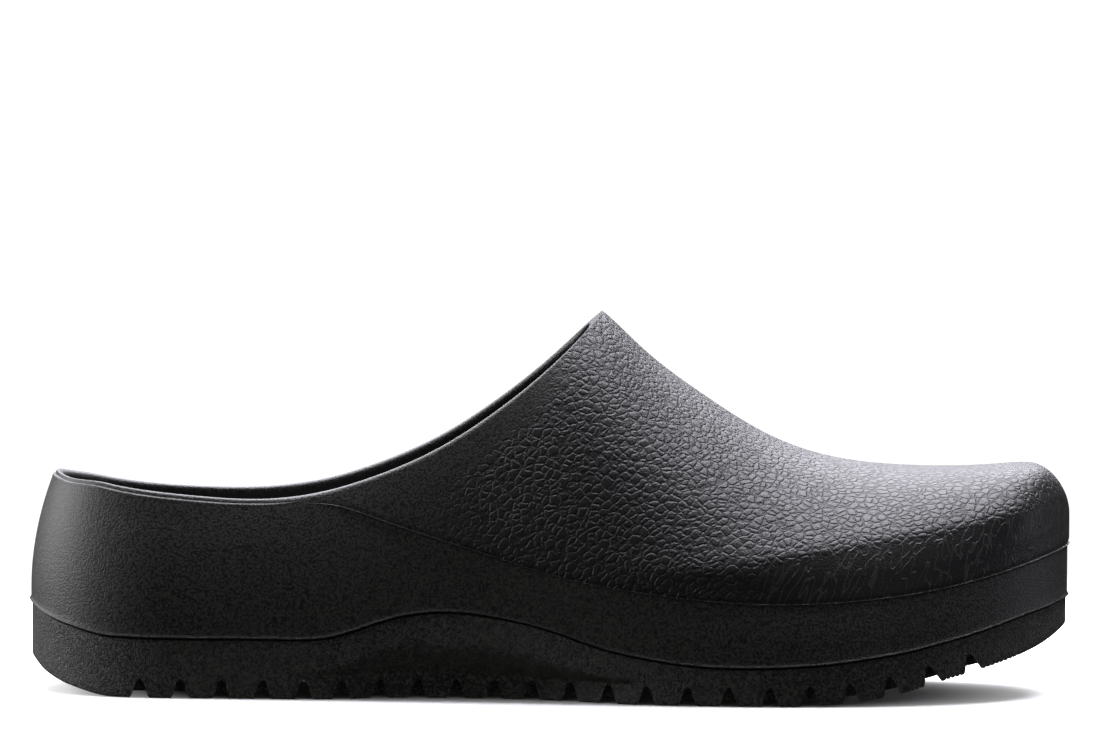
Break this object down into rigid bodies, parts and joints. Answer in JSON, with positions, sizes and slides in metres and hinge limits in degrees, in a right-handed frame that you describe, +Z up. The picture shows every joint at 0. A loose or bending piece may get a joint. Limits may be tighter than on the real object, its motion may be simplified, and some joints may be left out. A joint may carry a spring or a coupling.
{
  "type": "chef clog",
  "caption": "Closed-toe, low-heel-cup work clog: a hollow moulded upper with a sloping collar, on a lugged outsole with an arched waist, and a loose footbed inside.",
  "frame": {"origin": "middle of the shoe's box, on the ground", "axes": "+X points to the toe, +Y to the inner (medial) side of the right foot, +Z up"},
  "size_m": [0.2904, 0.1098, 0.1065],
  "materials": {
    "upper": "moulded polyurethane: pebbled grain on the vamp, smooth satin on the rand and heel cup",
    "outsole": "moulded polyurethane, coarse spark-eroded texture",
    "footbed": "foam with a short-napped lining"
  },
  "bodies": {
    "root": {"upper": "upper", "outsole": "outsole", "footbed": "footbed"}
  },
  "joints": []
}
